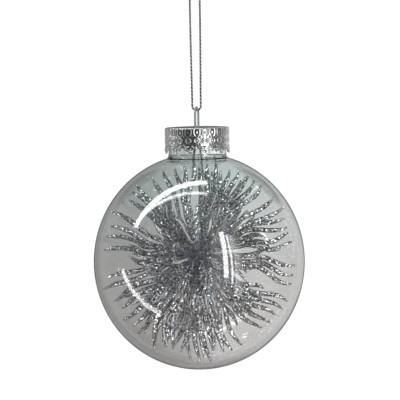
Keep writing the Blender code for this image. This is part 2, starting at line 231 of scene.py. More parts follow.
# ---------------------------------------------------------------- material helpers
class Nodes:
    """Short calls for building a node tree."""

    def __init__(self, tree):
        self.tree = tree
        tree.nodes.clear()

    def add(self, kind, **settings):
        node = self.tree.nodes.new(kind)
        for key, value in settings.items():
            setattr(node, key, value)
        return node

    def link(self, source, target):
        self.tree.links.new(source, target)

    def feed(self, socket, value):
        if isinstance(value, bpy.types.NodeSocket):
            self.link(value, socket)
        else:
            socket.default_value = value

    def math(self, operation, *values):
        node = self.add("ShaderNodeMath", operation=operation)
        for socket, value in zip(node.inputs, values):
            self.feed(socket, value)
        return node.outputs[0]

    def vector(self, operation, *values):
        node = self.add("ShaderNodeVectorMath", operation=operation)
        sockets = [s for s in node.inputs if s.enabled]
        for socket, value in zip(sockets, values):
            self.feed(socket, value)
        return node.outputs["Value"] if operation in ("DOT_PRODUCT", "DISTANCE") else node.outputs["Vector"]

    def ramp(self, value, stops):
        """A colour ramp. Each stop is a place and a grey number or a colour."""
        node = self.add("ShaderNodeValToRGB")
        elements = node.color_ramp.elements
        while len(elements) < len(stops):
            elements.new(0.5)
        for element, (place, colour) in zip(elements, stops):
            element.position = place
            element.color = (*colour, 1.0) if isinstance(colour, tuple) else (colour, colour, colour, 1.0)
        self.link(value, node.inputs["Fac"])
        return node.outputs["Color"]

    def step(self, value, low, high, to_low=0.0, to_high=1.0):
        node = self.add("ShaderNodeMapRange", interpolation_type="SMOOTHSTEP")
        self.feed(node.inputs["Value"], value)
        node.inputs["From Min"].default_value = low
        node.inputs["From Max"].default_value = high
        node.inputs["To Min"].default_value = to_low
        node.inputs["To Max"].default_value = to_high
        return node.outputs["Result"]

    def mix(self, factor, a, b, blend="MIX"):
        node = self.add("ShaderNodeMix", data_type="RGBA", blend_type=blend)
        self.feed(node.inputs["Factor"], factor)
        for key, value in (("A", a), ("B", b)):
            socket = [s for s in node.inputs if s.name == key and s.type == "RGBA"][0]
            self.feed(socket, (*value, 1.0) if isinstance(value, tuple) else value)
        return [s for s in node.outputs if s.type == "RGBA"][0]

    def times(self, a, b):
        """Product of two colours."""
        return self.mix(1.0, a, b, "MULTIPLY")

    def noise(self, vector, scale, detail=2.0, roughness=0.5, distortion=0.0):
        node = self.add("ShaderNodeTexNoise")
        self.link(vector, node.inputs["Vector"])
        node.inputs["Scale"].default_value = scale
        node.inputs["Detail"].default_value = detail
        node.inputs["Roughness"].default_value = roughness
        node.inputs["Distortion"].default_value = distortion
        return node.outputs["Fac"]

    def grains(self, vector, scale):
        """A random colour for every cell of a Voronoi pattern, whole and as three separate numbers."""
        node = self.add("ShaderNodeTexVoronoi", feature="F1")
        self.link(vector, node.inputs["Vector"])
        node.inputs["Scale"].default_value = scale
        parts = self.add("ShaderNodeSeparateColor")
        self.link(node.outputs["Color"], parts.inputs[0])
        return node.outputs["Color"], parts.outputs

    def bump(self, height, distance, strength, normal=None):
        node = self.add("ShaderNodeBump")
        node.inputs["Strength"].default_value = strength
        node.inputs["Distance"].default_value = distance
        self.link(height, node.inputs["Height"])
        if normal is not None:
            self.link(normal, node.inputs["Normal"])
        return node.outputs["Normal"]

    def attribute(self, name):
        return self.add("ShaderNodeAttribute", attribute_name=name).outputs["Fac"]

    def mix_shaders(self, factor, a, b):
        node = self.add("ShaderNodeMixShader")
        self.link(factor, node.inputs[0])
        self.link(a, node.inputs[1])
        self.link(b, node.inputs[2])
        return node.outputs[0]


WHITE = (1.0, 1.0, 1.0)


def new_material(name):
    """A material with a Principled shader, as (material, nodes, shader, object coordinates)."""
    material = bpy.data.materials.new(name)
    material.use_nodes = True
    nodes = Nodes(material.node_tree)
    shader = nodes.add("ShaderNodeBsdfPrincipled")
    output = nodes.add("ShaderNodeOutputMaterial")
    nodes.link(shader.outputs["BSDF"], output.inputs["Surface"])
    place = nodes.add("ShaderNodeTexCoord").outputs["Object"]
    return material, nodes, shader, place


# ---------------------------------------------------------------- materials
# height band over which the glass's base colour carries painted reflection and painted shade
PAINTED_TINT_BOTTOM_Z, PAINTED_TINT_HEIGHT = -0.142, 0.092
SHADOW_TINT = (0.72, 0.73, 0.73, 1.0)
GLITTER_SCALE, GLITTER_LEAN = 2700.0, 1.1


def glass_material():
    """Clear glass whose base colour carries painted reflection, warm below and cool above, and painted shade
    as a darker ring where the neck meets the ball.
    """
    material, nodes, shader, place = new_material("clear_glass")
    parts = nodes.add("ShaderNodeSeparateXYZ")
    nodes.link(place, parts.inputs[0])
    share = nodes.math("MULTIPLY_ADD", parts.outputs["Z"], 1 / PAINTED_TINT_HEIGHT, -PAINTED_TINT_BOTTOM_Z / PAINTED_TINT_HEIGHT)
    # painted reflection: warm grey below and cooler above; a dark band as painted shade where the neck meets
    # the ball; clearer glass in the neck
    colour = nodes.ramp(share, [
        (0.0, (0.82, 0.81, 0.805)), (0.45, (0.815, 0.815, 0.805)), (0.8, (0.80, 0.848, 0.838)),
        (0.867, (0.80, 0.852, 0.842)), (0.872, (0.60, 0.68, 0.67)), (0.878, (0.60, 0.68, 0.67)),
        (0.883, (0.96, 1.0, 0.99)), (1.0, (0.96, 1.0, 0.99))])
    nodes.link(colour, shader.inputs["Base Color"])
    shader.inputs["Roughness"].default_value = 0.0
    shader.inputs["IOR"].default_value = 1.5
    shader.inputs["Transmission Weight"].default_value = 1.0
    waves = nodes.noise(place, 60.0, 1.0)
    nodes.link(nodes.bump(waves, 0.0006, 0.06), shader.inputs["Normal"])
    clear = nodes.add("ShaderNodeBsdfTransparent")
    clear.inputs["Color"].default_value = SHADOW_TINT
    in_shadow = nodes.add("ShaderNodeLightPath").outputs["Is Shadow Ray"]
    both = nodes.mix_shaders(in_shadow, shader.outputs["BSDF"], clear.outputs["BSDF"])
    output = [n for n in nodes.tree.nodes if n.type == "OUTPUT_MATERIAL"][0]
    nodes.link(both, output.inputs["Surface"])
    return material


def glitter_material():
    """Silver glitter: each grain has its own brightness and its own lean. A leaf's sides are darker, and
    painted shade darkens the leaves near the spray's centre.
    """
    material, nodes, shader, place = new_material("glittered_leaf")
    grain, parts = nodes.grains(place, GLITTER_SCALE)
    silver = nodes.ramp(parts[0], [(0.0, (0.05, 0.052, 0.058)), (0.12, (0.14, 0.145, 0.16)),
                                   (0.22, (0.74, 0.75, 0.78)), (0.4, WHITE)])
    patches = nodes.noise(place, 180.0, 2.0)
    worn = nodes.ramp(patches, [(0.3, (0.82, 0.84, 0.90)), (0.6, (1.0, 0.99, 0.98))])
    # painted shade: leaves are darker near the spray's centre, where they shade each other
    depth = nodes.vector("DISTANCE", place, tuple(SPRAY_CENTRE))
    painted_centre_shade = nodes.ramp(nodes.math("MULTIPLY", depth, 25.0), [(0.1, (0.90, 0.91, 0.95)), (0.5, WHITE)])
    sides = nodes.ramp(nodes.attribute("edge"), [(0.50, WHITE), (0.84, (0.34, 0.35, 0.38)),
                                                 (1.0, (0.20, 0.21, 0.235))])
    colour = nodes.times(nodes.times(nodes.times(silver, painted_centre_shade), sides), worn)
    nodes.link(colour, shader.inputs["Base Color"])
    shader.inputs["Metallic"].default_value = 1.0
    nodes.link(nodes.math("MULTIPLY_ADD", parts[1], 0.22, 0.12), shader.inputs["Roughness"])
    normal = nodes.add("ShaderNodeNewGeometry").outputs["Normal"]
    lean = nodes.vector("MULTIPLY", nodes.vector("SUBTRACT", grain, (0.5, 0.5, 0.5)), (GLITTER_LEAN,) * 3)
    nodes.link(nodes.vector("NORMALIZE", nodes.vector("ADD", normal, lean)), shader.inputs["Normal"])
    return material


def cap_material():
    """Bright plated foil, with painted shade in the recesses of the stamping and painted highlight on its
    raised parts.
    """
    material, nodes, shader, place = new_material("crown_cap_silver")
    # painted shade in the recesses of the stamping and painted highlight on its raised parts
    relief_shade_and_highlight = nodes.ramp(nodes.attribute("relief"), [(0.15, (0.06, 0.065, 0.07)), (0.5, (0.76, 0.77, 0.79)),
                                                  (0.75, WHITE)])
    stains = nodes.noise(place, 700.0, 4.0, 0.6)
    worn = nodes.ramp(stains, [(0.35, 0.86), (0.6, 1.0)])
    nodes.link(nodes.times(relief_shade_and_highlight, worn), shader.inputs["Base Color"])
    shader.inputs["Metallic"].default_value = 1.0
    nodes.link(nodes.step(stains, 0.3, 0.7, 0.07, 0.15), shader.inputs["Roughness"])
    dents = nodes.bump(nodes.noise(place, 420.0, 1.0), 0.0001, 0.15)
    nodes.link(nodes.bump(nodes.noise(place, 2600.0, 3.0), 0.00003, 0.15, dents), shader.inputs["Normal"])
    return material


def wire_material():
    """Drawn spring steel with lengthwise draw marks."""
    material, nodes, shader, place = new_material("hanger_steel")
    marks = nodes.noise(nodes.vector("MULTIPLY", place, (1.0, 1.0, 0.12)), 9000.0, 3.0, 0.7)
    colour = nodes.ramp(marks, [(0.3, (0.34, 0.38, 0.37)), (0.65, (0.62, 0.67, 0.66))])
    nodes.link(colour, shader.inputs["Base Color"])
    shader.inputs["Metallic"].default_value = 1.0
    nodes.link(nodes.step(marks, 0.3, 0.7, 0.28, 0.42), shader.inputs["Roughness"])
    nodes.link(nodes.bump(marks, 0.00002, 0.4), shader.inputs["Normal"])
    return material


def thread_material(name, dark, light, metallic, roughness):
    """Fine metallised fibres with a few painted glints, specks of near-white base colour."""
    material, nodes, shader, place = new_material(name)
    fibres = nodes.noise(place, 9000.0, 4.0, 0.75, 0.4)
    _, parts = nodes.grains(place, 6000.0)
    # painted glints: random grains whose base colour is near-white
    painted_glint = nodes.step(parts[0], 0.75, 0.9)
    base = nodes.ramp(fibres, [(0.35, dark), (0.65, light)])
    nodes.link(nodes.mix(painted_glint, base, (0.9, 0.92, 0.94)), shader.inputs["Base Color"])
    shader.inputs["Metallic"].default_value = metallic
    nodes.link(nodes.step(fibres, 0.3, 0.7, roughness, roughness + 0.2), shader.inputs["Roughness"])
    nodes.link(nodes.bump(fibres, 0.00006, 0.7), shader.inputs["Normal"])
    return material


def hub_material():
    """Dark moulded plastic with glitter dust."""
    material, nodes, shader, place = new_material("hub_plastic")
    _, parts = nodes.grains(place, 3600.0)
    spot = nodes.step(parts[0], 0.58, 0.66)
    clouds = nodes.noise(place, 500.0, 3.0)
    base = nodes.ramp(clouds, [(0.3, (0.10, 0.103, 0.11)), (0.7, (0.22, 0.225, 0.235))])
    nodes.link(nodes.mix(spot, base, (0.75, 0.77, 0.80)), shader.inputs["Base Color"])
    nodes.link(nodes.math("MULTIPLY", spot, 0.9), shader.inputs["Metallic"])
    nodes.link(nodes.step(clouds, 0.2, 0.8, 0.35, 0.6), shader.inputs["Roughness"])
    nodes.link(nodes.bump(clouds, 0.0001, 0.5), shader.inputs["Normal"])
    return material


def floor_material():
    material, nodes, shader, place = new_material("pale_floor")
    cloud = nodes.noise(place, 3.0, 3.0)
    nodes.link(nodes.ramp(cloud, [(0.3, 0.86), (0.7, 0.90)]), shader.inputs["Base Color"])
    nodes.link(nodes.step(cloud, 0.3, 0.7, 0.6, 0.7), shader.inputs["Roughness"])
    return material


# ---------------------------------------------------------------- string and knot
STRING_BIGHT = 0.00165  # radius of the loop's turn under the eye
LAY = 0.00132  # length of one full twist
STRAND_RADII = (0.00031, 0.00017)  # a dark strand and a thinner bright one
STRAND_SIDES = 8
CORD_POINT_EVERY = 0.0018
KNOT_RADIUS, KNOT_UP, KNOT_RISE = 0.00098, 0.0042, 0.0019
KNOT_TURN, KNOT_POINTS = 400, 12  # degrees round the knot, and how many steps they take


def string_route():
    """The loop from the knot, down and round the bight, and back up to the knot."""
    bottom = BALL_CENTRE_Z + EYE_TOP_UP - WIRE_RADIUS - GAP - STRING_RADIUS
    half = [
        (0.00055, 0, 0.0034), (0.00085, 0, 0.0025), (0.00140, 0, 0.0013), (0.00175, 0, 0.0000),
        (0.00190, 0, -0.0020), (0.00192, 0, -0.0060), (0.00190, 0, -0.0120), (0.00186, 0, -0.0180),
        (0.00180, 0, -0.0240), (0.00174, 0, -0.0300), (0.00168, 0, -0.0360), (0.00165, 0, -0.0395),
    ]
    turn = [(x, 0, z) for x, z in arc((0, bottom + STRING_BIGHT), STRING_BIGHT, 0, -180, 8)]
    back = [(-x, y, z) for x, y, z in reversed(half)]
    return half + turn + back


def knot_route(side):
    """One end of the string: into the knot, a little over once round it, and out as a cut tail."""
    way = [(side * 0.00055, 0, 0.0034), (side * 0.00050, -0.0002, 0.0039)]
    start = 0 if side > 0 else 180
    for i in range(KNOT_POINTS + 1):
        share = i / KNOT_POINTS
        angle = math.radians(start + KNOT_TURN * share)
        way.append((KNOT_RADIUS * math.cos(angle), KNOT_RADIUS * math.sin(angle),
                    KNOT_UP + KNOT_RISE * share))
    return way + [(side * 0.00045, 0.0002, 0.0064), (side * 0.00085, 0, 0.0074),
                  (side * 0.00135, 0, 0.0088), (side * 0.00170, 0, 0.0098)]


def twisted(points):
    """Two strands, one dark and one bright, laid up into a string along a line."""
    line = smooth_line(points, LAY / 10)
    _, normal, binormal = frames(line)
    walked = distances(line)
    parts = []
    for k, radius in enumerate(STRAND_RADII):
        turn = -2 * math.pi * walked / LAY + 2 * math.pi * k / len(STRAND_RADII)
        out = normal * np.cos(turn)[:, None] + binormal * np.sin(turn)[:, None]
        verts, faces = tube(line + (STRING_RADIUS - radius) * out, radius, STRAND_SIDES, 1)
        parts.append((verts, faces, k))
    return parts


def make_string(materials):
    route = string_route()
    verts, faces, index = joined(twisted(route))
    string = new_piece("twisted_string", verts, faces, materials, "string", "hanging_string",
                       True, index)
    verts, faces, index = joined(twisted(knot_route(-1)) + twisted(knot_route(1)))
    knot = new_piece("overhand_knot", verts, faces, materials, "knot", "string_knot",
                     True, index)
    path = smooth_line(route, CORD_POINT_EVERY)


# ---------------------------------------------------------------- hanger wire
WIRE_POINT_EVERY = 0.00035
WIRE_LEG = [(0.0091, 0.0334), (0.0078, 0.0366), (0.0061, 0.0404), (0.0046, 0.0438), (0.0034, 0.0472),
            (EYE_RADIUS, 0.0500), (EYE_RADIUS, 0.0527)]  # out to the side, and up from the ball's centre


def make_wire(material):
    eye_up = EYE_TOP_UP - EYE_RADIUS
    eye = arc((0, eye_up), EYE_RADIUS, 0, 180, 16)
    leg = [*WIRE_LEG, (EYE_RADIUS, eye_up)]
    outline = leg + eye[1:-1] + [(-y, z) for y, z in reversed(leg)]
    line = smooth_line([(0, y, BALL_CENTRE_Z + z) for y, z in outline], WIRE_POINT_EVERY)
    verts, faces = tube(line, WIRE_RADIUS, 16, 3)
    return new_piece("spring_wire", verts, faces, [material], "hanger", "hanger_wire")


# ---------------------------------------------------------------- glass ball
BALL_RADIUS, BALL_HALF_HEIGHT = 0.0400, 0.0410
INNER_WIDTH, INNER_HEIGHT, INNER_SHIFT = 0.0391, 0.03985, 0.00025
NECK_RADIUS, BORE = 0.0109, 0.0098
BORE_FLARE, BORE_CORNER = 0.0005, 0.0007
LIP_UP, LIP_ROUND, NECK_FILLET = 0.05025, 0.0004, 0.0018
FILLET_RISE = 1.2  # height of the neck's fillet as a share of its width
BEND_UP = 0.0001  # how far the pull of a bend lies above its lower end
GLASS_ROWS, GLASS_COLUMNS = 96, 144


def inner_profile():
    """Radius and height from the bottom of the inside up to the straight bore."""
    end = math.acos((BORE + BORE_FLARE) / INNER_WIDTH)
    profile = [(0.0, INNER_SHIFT - INNER_HEIGHT)]
    for i in range(1, GLASS_ROWS + 1):
        angle = -math.pi / 2 + (end + math.pi / 2) * i / GLASS_ROWS
        profile.append((INNER_WIDTH * math.cos(angle), INNER_SHIFT + INNER_HEIGHT * math.sin(angle)))
    corner_up = profile[-1][1] + BEND_UP
    return profile + bend(profile[-1], (BORE, corner_up), (BORE, corner_up + BORE_CORNER), 5)[1:]


def neck_profile(bore_foot, neck_foot):
    """Radius and height up the bore, over the rounded lip and down the outside of the neck."""
    lip_foot = LIP_UP - LIP_ROUND
    bore = [(BORE, bore_foot + (lip_foot - bore_foot) * k / 8) for k in range(1, 8)]
    lip = arc((BORE + LIP_ROUND, lip_foot), LIP_ROUND, 180, 90, 5)
    lip += arc((NECK_RADIUS - LIP_ROUND, lip_foot), LIP_ROUND, 90, 0, 5)
    neck = [(NECK_RADIUS, lip_foot + (neck_foot - lip_foot) * k / 10) for k in range(1, 10)]
    return bore + lip + neck


def make_glass(material):
    start = math.acos((NECK_RADIUS + NECK_FILLET) / BALL_RADIUS)
    start_up = BALL_HALF_HEIGHT * math.sin(start)
    neck_foot = start_up + FILLET_RISE * NECK_FILLET
    profile = inner_profile()
    profile += neck_profile(profile[-1][1], neck_foot)
    profile += bend((NECK_RADIUS, neck_foot), (NECK_RADIUS, start_up + BEND_UP),
                    (NECK_RADIUS + NECK_FILLET, start_up), 6)
    for i in range(1, GLASS_ROWS):
        angle = start - (start + math.pi / 2) * i / GLASS_ROWS
        profile.append((BALL_RADIUS * math.cos(angle), BALL_HALF_HEIGHT * math.sin(angle)))
    profile.append((0.0, -BALL_HALF_HEIGHT))
    verts, faces = turned(profile, GLASS_COLUMNS)
    verts[:, 2] += BALL_CENTRE_Z
    return new_piece("clear_ball", verts, faces, [material], "ball", "glass_ball")


# ---------------------------------------------------------------- crown cap, in millimetres until the end
CAP_RADIUS, CAP_CORNER, CAP_CORNER_UP, CAP_CROWN = 12.1, 0.9, 50.05, 0.3
CAP_FLARE = [(12.4, 41.2), (12.32, 42.2), (12.2, 43.2), (12.1, 44.2)]
CAP_SHEET = 0.00030  # metres
CAP_COLUMNS = 480
SKIRT_END, TOP_START = 8.6, 10.5  # lengths from the lace edge, just short of the corner and just past it
MOTIFS, BEADS, SCALLOPS = 24, 96, 12
MOTIF_TURN = math.radians(-79)
WIRE_HOLE_OFFSET, WIRE_HOLE_RADIUS = EYE_RADIUS / MM, 0.8
# circles of the lace: across from a scallop's middle, up from its edge, and radius
LACE_PETALS = [(0, 0.95, 0.95), (1.75, 1.85, 0.85), (-1.75, 1.85, 0.85), (2.8, 2.65, 0.5),
               (-2.8, 2.65, 0.5), (0, 2.1, 0.95)]
LACE_HOLES = [(0, 0.95, 0.34), (1.75, 1.85, 0.30), (-1.75, 1.85, 0.30), (0.85, 2.75, 0.32),
              (-0.85, 2.75, 0.32), (0, 1.95, 0.2), (2.55, 3.1, 0.22), (-2.55, 3.1, 0.22)]
LACE_RIMS = [(0, 0.95, 0.6), (1.75, 1.85, 0.52), (-1.75, 1.85, 0.52)]
LACE_TOP = 2.85  # above this length the metal is whole but for its holes
LACE_END, HOLES_START = 5, 11  # lengths below which only lace is cut, and above which only wire holes
OVAL_UP, OVAL_HALF_WIDTH, OVAL_HALF_HEIGHT = 8.2, 1.12, 1.8
SEED_UP, SEED_HALF_WIDTH, SEED_HALF_HEIGHT = 8.0, 0.30, 0.55  # the raised seed inside each oval
RING_UP, RING_RADIUS = 4.95, 0.90
DOTS = [(9.6, 0.30), (6.55, 0.34), (3.3, 0.30)]  # up the cap, and size, between the ovals
BEAD_UP, BEAD_SIZE = 3.55, 0.2
TOP_RING_HEIGHT, TOP_RING_PITCH, TOP_RINGS_END = 0.03, 2.2, 19.2
# how fast the painted shade and highlight change per millimetre of relief height
RELIEF_TO_SHADE = 4.0


def cap_profile():
    """Lengths, and radii and heights, along the cap from its lace edge to its middle."""
    inner = CAP_RADIUS - CAP_CORNER
    foot, top = CAP_FLARE[-1][1], CAP_CORNER_UP + CAP_CORNER
    points = CAP_FLARE + [(CAP_RADIUS, foot + (CAP_CORNER_UP - foot) * k / 10) for k in range(1, 11)]
    points += arc((inner, CAP_CORNER_UP), CAP_CORNER, 0, 90, 12)[1:]
    points += [(r, top + CAP_CROWN * (1 - (r / inner) ** 2)) for r in np.linspace(inner - 0.3, 0.35, 30)]
    return distances(np.array(points)), np.array(points)


CAP_WALKED, CAP_POINTS = cap_profile()


def cap_radius(v):
    return np.interp(v, CAP_WALKED, CAP_POINTS[:, 0])


def cap_height(v):
    return np.interp(v, CAP_WALKED, CAP_POINTS[:, 1])


def about(length, pitch):
    """Where a length is in its pitch, from minus half to half of it."""
    return (length + pitch / 2) % pitch - pitch / 2


def from_point(s, v, x, y):
    return np.hypot(s - x, v - y)


def in_scallop(angle):
    return CAP_RADIUS * about(angle, 2 * math.pi / SCALLOPS)


def cap_relief(v, angle):
    """Height of the stamping: ovals above rings, dots between them, beads, and rims in the lace."""
    pitch = 2 * math.pi * CAP_RADIUS / MOTIFS
    motif = about(CAP_RADIUS * (angle - MOTIF_TURN), pitch)
    between = about(CAP_RADIUS * (angle - MOTIF_TURN) - pitch / 2, pitch)
    oval = np.hypot(motif / OVAL_HALF_WIDTH, (v - OVAL_UP) / OVAL_HALF_HEIGHT)
    height = 0.15 * gauss(oval - 1, 0.13) * np.clip(np.abs(motif) / 0.7, 0.25, 1)
    height += 0.14 * gauss(np.hypot(motif / SEED_HALF_WIDTH, (v - SEED_UP) / SEED_HALF_HEIGHT), 0.9)
    height -= 0.02 * (oval < 0.8)
    ring = from_point(motif, v, 0, RING_UP)
    height += 0.16 * gauss(ring - RING_RADIUS, 0.17)
    height += 0.15 * gauss(ring, 0.27)
    height -= 0.03 * (ring < 0.7)
    for up, size in DOTS:
        height += 0.12 * gauss(from_point(between, v, 0, up), size)
    bead_pitch = 2 * math.pi * CAP_RADIUS / BEADS
    bead = about(CAP_RADIUS * angle - bead_pitch / 2, bead_pitch)
    height += 0.06 * gauss(from_point(bead, v, 0, BEAD_UP), BEAD_SIZE)
    for x, y, r in LACE_RIMS:
        height += 0.14 * gauss(from_point(in_scallop(angle), v, x, y) - r, 0.17)
    fade = np.clip((TOP_START - 0.1 - v) / 0.5, 0, 1)
    return np.where(v < TOP_START - 0.2, height, 0.0) * fade


def top_relief(v):
    """Height of the shallow rings pressed into the top of the cap."""
    shares = np.clip((v - TOP_START - 0.4) / 0.4, 0, 1) * np.clip((TOP_RINGS_END - v) / 1.5, 0, 1)
    return TOP_RING_HEIGHT * np.cos((v - TOP_START) * 2 * math.pi / TOP_RING_PITCH) * shares


def lace(s, v):
    """Positive in the metal and negative outside it and in the holes."""
    metal = v - LACE_TOP
    for x, y, r in LACE_PETALS:
        metal = np.maximum(metal, r - from_point(s, v, x, y))
    for x, y, r in LACE_HOLES:
        metal = np.minimum(metal, from_point(s, v, x, y) - r)
    return metal


def edge_distance(v, angle):
    """Signed distance to the metal's edge: the lace below, the wire holes above."""
    x, y = cap_radius(v) * np.cos(angle), cap_radius(v) * np.sin(angle)
    from_wire = np.minimum(np.hypot(x, y - WIRE_HOLE_OFFSET), np.hypot(x, y + WIRE_HOLE_OFFSET))
    holes = from_wire - WIRE_HOLE_RADIUS
    return np.where(v < LACE_END, lace(in_scallop(angle), v), np.where(v > HOLES_START, holes, 1.0))


def cap_rows():
    """Lengths up the cap of the mesh's rows, close together at the wire holes."""
    top = [np.linspace(0.45, 6.4, 11), np.linspace(6.6, 8.9, 13), np.linspace(9.3, 9.9, 2)]
    return np.concatenate([np.linspace(0, SKIRT_END, 64), np.linspace(SKIRT_END, TOP_START, 12)[1:],
                           TOP_START + np.concatenate(top)])


def moved_to_edge(v, angle, inside):
    """The grid with its points near an edge of the metal moved onto that edge."""
    step, cell = 0.02, 0.09
    radius = cap_radius(v)
    along = (edge_distance(v + step, angle) - edge_distance(v - step, angle)) / (2 * step)
    turn = step / radius
    across = (edge_distance(v, angle + turn) - edge_distance(v, angle - turn)) / (2 * step)
    size = np.maximum(along ** 2 + across ** 2, 0.25)
    near = (np.abs(inside) < cell) & (v > 0)
    return (np.where(near, v - inside * along / size, v),
            np.where(near, angle - inside * across / size / radius, angle))


def raised(v, angle, relief):
    """Places of the grid's points, lifted off the cap's profile by the relief."""
    dr = cap_radius(v + 0.1) - cap_radius(v - 0.1)
    dz = cap_height(v + 0.1) - cap_height(v - 0.1)
    size = np.maximum(np.hypot(dr, dz), 1e-6)
    r = cap_radius(v) + relief * dz / size
    z = cap_height(v) - relief * dr / size
    return np.stack([r * np.cos(angle), r * np.sin(angle), z], axis=-1).reshape(-1, 3)


def cap_faces(inside):
    """Faces of the grid's cells that are mostly metal, and the fan that closes the middle of the top."""
    rows = len(inside)
    faces = []
    for i in range(rows - 1):
        for k in range(CAP_COLUMNS):
            n = (k + 1) % CAP_COLUMNS
            if inside[i, k] + inside[i, n] + inside[i + 1, k] + inside[i + 1, n] > 0:
                faces.append((i * CAP_COLUMNS + k, i * CAP_COLUMNS + n,
                              (i + 1) * CAP_COLUMNS + n, (i + 1) * CAP_COLUMNS + k))
    last, middle = (rows - 1) * CAP_COLUMNS, rows * CAP_COLUMNS
    return faces + [(last + k, last + (k + 1) % CAP_COLUMNS, middle) for k in range(CAP_COLUMNS)]


def make_cap(material):
    v, angle = np.meshgrid(cap_rows(), np.arange(CAP_COLUMNS) * 2 * math.pi / CAP_COLUMNS, indexing="ij")
    inside = edge_distance(v, angle)
    faces = cap_faces(inside)
    v, angle = moved_to_edge(v, angle, inside)
    relief = cap_relief(v, angle) + top_relief(v)
    middle = (0, 0, CAP_CORNER_UP + CAP_CORNER + CAP_CROWN)
    verts = np.vstack([raised(v, angle, relief), [middle]]) * MM + (0, 0, BALL_CENTRE_Z)
    # painted shade in the recesses and painted highlight on the raised parts, stored for the cap's material
    shade = np.append(np.clip(0.5 + relief.reshape(-1) * RELIEF_TO_SHADE, 0, 1), 0.5)
    used = np.zeros(len(verts), dtype=bool)
    for face in faces:
        used[list(face)] = True
    renumber = np.cumsum(used) - 1
    faces = [tuple(renumber[i] for i in face) for face in faces]
    cap = new_piece("lace_crown_cap", verts[used], faces, [material], "cap", "crown_cap")
    add_attribute(cap, "relief", shade[used])
    sheet = cap.modifiers.new("sheet", "SOLIDIFY")
    sheet.thickness = CAP_SHEET
    sheet.offset = -1
    return cap


# ---------------------------------------------------------------- spray
SPRAY_TURN = math.radians(12)
HUB_RADIUS, FORK_RADIUS = 0.0046, 0.0105
SOCKET_RADIUS, SOCKET_HEIGHT, SOCKET_WIDTH = 0.0009, 0.0004, 0.00022
STALK_WIDTH, FORK_WIDTH = 0.0013, 0.0018
LEAF_WIDTH, LEAF_TIP_WIDTH = 0.0018, 0.0006
LEAF_THICKNESS, LEAF_TIP_SHARE = 0.0008, 0.35
LEAF_OPEN_AT, LEAF_FULL_AT, LEAF_TAPER_AT, LEAF_TAPER_POWER = 0.25, 0.55, 0.78, 1.3
TIP_CLEARANCE = 0.0010
REACHES = (0.93, 1.0)
WAVE, LEAF_WAVE, BOW = (math.radians(a) for a in (2.8, 0.5, 2.4))
WAVE_SHARES, WAVE_CYCLES, PHASE_SPREAD = (0.6, 1), (0.8, 1.3), 0.15
STALK_FILL = 0.62  # half width of a leaf in the stalk, as a share of its part of the stalk
GRAIN = 0.00038  # length of a ring of a leaf
LEAF_SIDES = 10
ROUGH_OUT, ROUGH_ALONG = 0.06, 0.2  # how far a leaf's points stray, as shares of its width and of a grain
SEED = 20
THREE = (-5.5, 0, 5.5)
# clock angle, lean towards the front, curl on the way out, and the fan of leaves, in degrees
BELT_SPRIGS = [
    (97, 7, -6, (-3, 3)), (65, 9, 5, THREE), (37, 9, 0, (-7, 1)), (8, 9, -3, (-3, 3)),
    (-36, 9, 7, THREE), (-70, 9, 0, (-3, 3)), (-92, 9, 0, THREE), (-115, 9, 0, (-3, 3)),
    (-135, 9, 0, THREE), (-162, 9, 6, (-3, 3)), (157, 9, -6, (-4, 4)), (124, 9, -6, (-5, 5)),
    (82, -7, -2, THREE), (53, -9, 0, THREE), (19, -9, -10, (-3, 3)), (-13, -9, -2, THREE),
    (-51, -9, 6, (-3, 3)), (-81, -9, 0, (-3, 3)), (-104, -9, 0, THREE), (-124, -9, 0, (-3, 3)),
    (-150, -9, -5, (-3, 3)), (172, -9, -5, (-4, 4)), (138, -9, -5, (-3, 3)), (107, -9, -6, (-4, 4)),
]
FRONT_SPRIGS = [
    (62, 27, 4, THREE), (20, 46, -6, THREE), (-38, 45, 6, THREE), (-84, 26, 0, THREE),
    (-117, 27, 0, THREE), (-150, 38, 0, THREE), (172, 47, -6, THREE), (128, 46, -6, THREE),
]
BACK_SPRIGS = [
    (78, -27, -2, THREE), (36, -45, 0, THREE), (-12, -46, 0, THREE), (-60, -32, 4, THREE),
    (-98, -26, 0, THREE), (-130, -28, 0, THREE), (-172, -44, -4, THREE), (140, -46, -6, THREE),
]
FRONT_MIDDLE_SPRIGS = [(-8 + 72 * i, 61, -6, THREE) for i in range(5)]
BACK_MIDDLE_SPRIGS = [(28 + 72 * i, -61, -6, THREE) for i in range(5)]
GROUPS = [
    ("belt_sprig", BELT_SPRIGS), ("front_sprig", FRONT_SPRIGS), ("back_sprig", BACK_SPRIGS),
    ("front_middle_sprig", FRONT_MIDDLE_SPRIGS), ("back_middle_sprig", BACK_MIDDLE_SPRIGS),
]


def direction(clock, lean):
    clock, lean = math.radians(clock), math.radians(lean)
    way = Vector((math.cos(lean) * math.cos(clock), -math.sin(lean), math.cos(lean) * math.sin(clock)))
    return Matrix.Rotation(SPRAY_TURN, 3, "Z") @ way


def wall_distance(way):
    """Distance from the spray's centre to the inside of the glass."""
    start = SPRAY_UP - INNER_SHIFT
    a = (way.x ** 2 + way.y ** 2) / INNER_WIDTH ** 2 + way.z ** 2 / INNER_HEIGHT ** 2
    b = 2 * start * way.z / INNER_HEIGHT ** 2
    c = start ** 2 / INNER_HEIGHT ** 2 - 1
    return (-b + math.sqrt(b * b - 4 * a * c)) / (2 * a)


